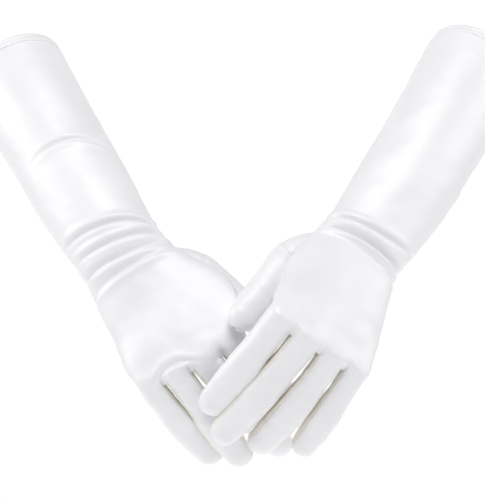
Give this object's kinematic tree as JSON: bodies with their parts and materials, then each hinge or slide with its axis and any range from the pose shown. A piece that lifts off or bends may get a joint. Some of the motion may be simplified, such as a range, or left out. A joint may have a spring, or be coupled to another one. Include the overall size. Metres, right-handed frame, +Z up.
{
  "type": "below-the-elbow opera gloves",
  "caption": "Pair of worn below-the-elbow satin opera gloves, one resting over the other, with jointed wrists, thumbs and fingers.",
  "frame": {"origin": "the centre of the right glove's arm opening, in the middle of its hem band", "axes": "+Z up, the backs of both hands face -Y, +X from the right glove to the left glove"},
  "size_m": [0.3926, 0.2128, 0.297],
  "materials": {
    "satin": "stretch satin, soft sheen",
    "fourchette_satin": "stretch satin, matt side out",
    "thread": "sewing thread",
    "seam_allowance": "overlocked cloth edge"
  },
  "bodies": {
    "right_sleeve": {"right_sleeve_back": "satin", "right_sleeve_palm": "satin", "right_sleeve_side_seam": "seam_allowance", "right_hem_band": "satin", "right_hem_stitching": "thread"},
    "right_hand": {"right_hand_back": "satin", "right_hand_palm": "satin"},
    "right_thumb": {"right_thumb_back": "satin", "right_thumb_palm": "satin"},
    "right_index_base": {"right_index_base_back": "satin", "right_index_base_palm": "satin", "right_index_base_fourchettes": "fourchette_satin"},
    "right_index_tip": {"right_index_tip_back": "satin", "right_index_tip_palm": "satin"},
    "right_middle_base": {"right_middle_base_back": "satin", "right_middle_base_palm": "satin", "right_middle_base_fourchettes": "fourchette_satin"},
    "right_middle_tip": {"right_middle_tip_back": "satin", "right_middle_tip_palm": "satin"},
    "right_ring_base": {"right_ring_base_back": "satin", "right_ring_base_palm": "satin", "right_ring_base_fourchettes": "fourchette_satin"},
    "right_ring_tip": {"right_ring_tip_back": "satin", "right_ring_tip_palm": "satin"},
    "right_little_base": {"right_little_base_back": "satin", "right_little_base_palm": "satin", "right_little_base_fourchettes": "fourchette_satin"},
    "right_little_tip": {"right_little_tip_back": "satin", "right_little_tip_palm": "satin"},
    "left_sleeve": {"left_sleeve_back": "satin", "left_sleeve_palm": "satin", "left_sleeve_side_seam": "seam_allowance", "left_hem_band": "satin", "left_hem_stitching": "thread"},
    "left_hand": {"left_hand_back": "satin", "left_hand_palm": "satin"},
    "left_thumb": {"left_thumb_back": "satin", "left_thumb_palm": "satin"},
    "left_index_base": {"left_index_base_back": "satin", "left_index_base_palm": "satin", "left_index_base_fourchettes": "fourchette_satin"},
    "left_index_tip": {"left_index_tip_back": "satin", "left_index_tip_palm": "satin"},
    "left_middle_base": {"left_middle_base_back": "satin", "left_middle_base_palm": "satin", "left_middle_base_fourchettes": "fourchette_satin"},
    "left_middle_tip": {"left_middle_tip_back": "satin", "left_middle_tip_palm": "satin"},
    "left_ring_base": {"left_ring_base_back": "satin", "left_ring_base_palm": "satin", "left_ring_base_fourchettes": "fourchette_satin"},
    "left_ring_tip": {"left_ring_tip_back": "satin", "left_ring_tip_palm": "satin"},
    "left_little_base": {"left_little_base_back": "satin", "left_little_base_palm": "satin", "left_little_base_fourchettes": "fourchette_satin"},
    "left_little_tip": {"left_little_tip_back": "satin", "left_little_tip_palm": "satin"}
  },
  "joints": [
    {"name": "left_glove_lift", "type": "slide", "parent": "right_sleeve", "child": "left_sleeve", "axis": [0, -1, 0], "range_m": [0, 0.12]},
    {"name": "right_wrist", "type": "hinge", "parent": "right_sleeve", "child": "right_hand", "pos_m": [0.08507, -0.089, -0.13151], "axis": [0.8396, 0, 0.5432], "range_deg": [0, 40]},
    {"name": "right_thumb_root", "type": "hinge", "parent": "right_hand", "child": "right_thumb", "pos_m": [0.13386, -0.10019, -0.14009], "axis": [0.6163, 0.1329, 0.7762], "range_deg": [0, 30]},
    {"name": "right_index_knuckle", "type": "hinge", "parent": "right_hand", "child": "right_index_base", "pos_m": [0.15506, -0.12813, -0.18374], "axis": [0.8874, 0.0344, 0.4597], "range_deg": [0, 40]},
    {"name": "right_index_middle", "type": "hinge", "parent": "right_index_base", "child": "right_index_tip", "pos_m": [0.17907, -0.11805, -0.21002], "axis": [0.7452, -0.0393, 0.6657], "range_deg": [0, 40]},
    {"name": "right_middle_knuckle", "type": "hinge", "parent": "right_hand", "child": "right_middle_base", "pos_m": [0.13683, -0.13021, -0.19364], "axis": [0.8874, 0.0344, 0.4597], "range_deg": [0, 40]},
    {"name": "right_middle_middle", "type": "hinge", "parent": "right_middle_base", "child": "right_middle_tip", "pos_m": [0.163, -0.11854, -0.22502], "axis": [0.7727, -0.0271, 0.6342], "range_deg": [0, 40]},
    {"name": "right_ring_knuckle", "type": "hinge", "parent": "right_hand", "child": "right_ring_base", "pos_m": [0.11899, -0.13036, -0.2027], "axis": [0.8874, 0.0344, 0.4597], "range_deg": [0, 40]},
    {"name": "right_ring_middle", "type": "hinge", "parent": "right_ring_base", "child": "right_ring_tip", "pos_m": [0.14029, -0.11976, -0.23296], "axis": [0.8185, -0.0049, 0.5744], "range_deg": [0, 40]},
    {"name": "right_little_knuckle", "type": "hinge", "parent": "right_hand", "child": "right_little_base", "pos_m": [0.10235, -0.12913, -0.2107], "axis": [0.8874, 0.0344, 0.4597], "range_deg": [0, 40]},
    {"name": "right_little_middle", "type": "hinge", "parent": "right_little_base", "child": "right_little_tip", "pos_m": [0.12001, -0.12051, -0.23532], "axis": [0.8137, -0.0074, 0.5812], "range_deg": [0, 40]},
    {"name": "left_wrist", "type": "hinge", "parent": "left_sleeve", "child": "left_hand", "pos_m": [0.23861, -0.11026, -0.11999], "axis": [-0.7715, -0.1197, 0.6249], "range_deg": [0, 30]},
    {"name": "left_thumb_root", "type": "hinge", "parent": "left_hand", "child": "left_thumb", "pos_m": [0.18949, -0.12678, -0.13245], "axis": [-0.3032, 0.9181, -0.2552], "range_deg": [0, 28]},
    {"name": "left_index_knuckle", "type": "hinge", "parent": "left_hand", "child": "left_index_base", "pos_m": [0.18222, -0.1727, -0.16872], "axis": [-0.806, -0.1736, 0.5659], "range_deg": [0, 30]},
    {"name": "left_index_middle", "type": "hinge", "parent": "left_index_base", "child": "left_index_tip", "pos_m": [0.16033, -0.16472, -0.19746], "axis": [-0.806, -0.1736, 0.5659], "range_deg": [0, 12]},
    {"name": "left_middle_knuckle", "type": "hinge", "parent": "left_hand", "child": "left_middle_base", "pos_m": [0.19902, -0.1706, -0.18092], "axis": [-0.806, -0.1736, 0.5659], "range_deg": [0, 30]},
    {"name": "left_middle_middle", "type": "hinge", "parent": "left_middle_base", "child": "left_middle_tip", "pos_m": [0.17269, -0.16174, -0.21308], "axis": [-0.7849, -0.1807, 0.5927], "range_deg": [0, 12]},
    {"name": "left_ring_knuckle", "type": "hinge", "parent": "left_hand", "child": "left_ring_base", "pos_m": [0.21512, -0.16632, -0.19201], "axis": [-0.806, -0.1736, 0.5659], "range_deg": [0, 30]},
    {"name": "left_ring_middle", "type": "hinge", "parent": "left_ring_base", "child": "left_ring_tip", "pos_m": [0.19355, -0.15778, -0.22273], "axis": [-0.8281, -0.1654, 0.5355], "range_deg": [0, 12]},
    {"name": "left_little_knuckle", "type": "hinge", "parent": "left_hand", "child": "left_little_base", "pos_m": [0.22991, -0.16057, -0.2017], "axis": [-0.806, -0.1736, 0.5659], "range_deg": [0, 30]},
    {"name": "left_little_middle", "type": "hinge", "parent": "left_little_base", "child": "left_little_tip", "pos_m": [0.21355, -0.15329, -0.22762], "axis": [-0.8545, -0.1547, 0.4958], "range_deg": [0, 12]}
  ],
  "couplings": [
    {"joint": "right_index_middle", "follows": "right_index_knuckle", "ratio": 1},
    {"joint": "right_middle_middle", "follows": "right_middle_knuckle", "ratio": 1},
    {"joint": "right_ring_middle", "follows": "right_ring_knuckle", "ratio": 1},
    {"joint": "right_little_middle", "follows": "right_little_knuckle", "ratio": 1},
    {"joint": "left_index_middle", "follows": "left_index_knuckle", "ratio": 0.4},
    {"joint": "left_middle_middle", "follows": "left_middle_knuckle", "ratio": 0.4},
    {"joint": "left_ring_middle", "follows": "left_ring_knuckle", "ratio": 0.4},
    {"joint": "left_little_middle", "follows": "left_little_knuckle", "ratio": 0.4}
  ]
}
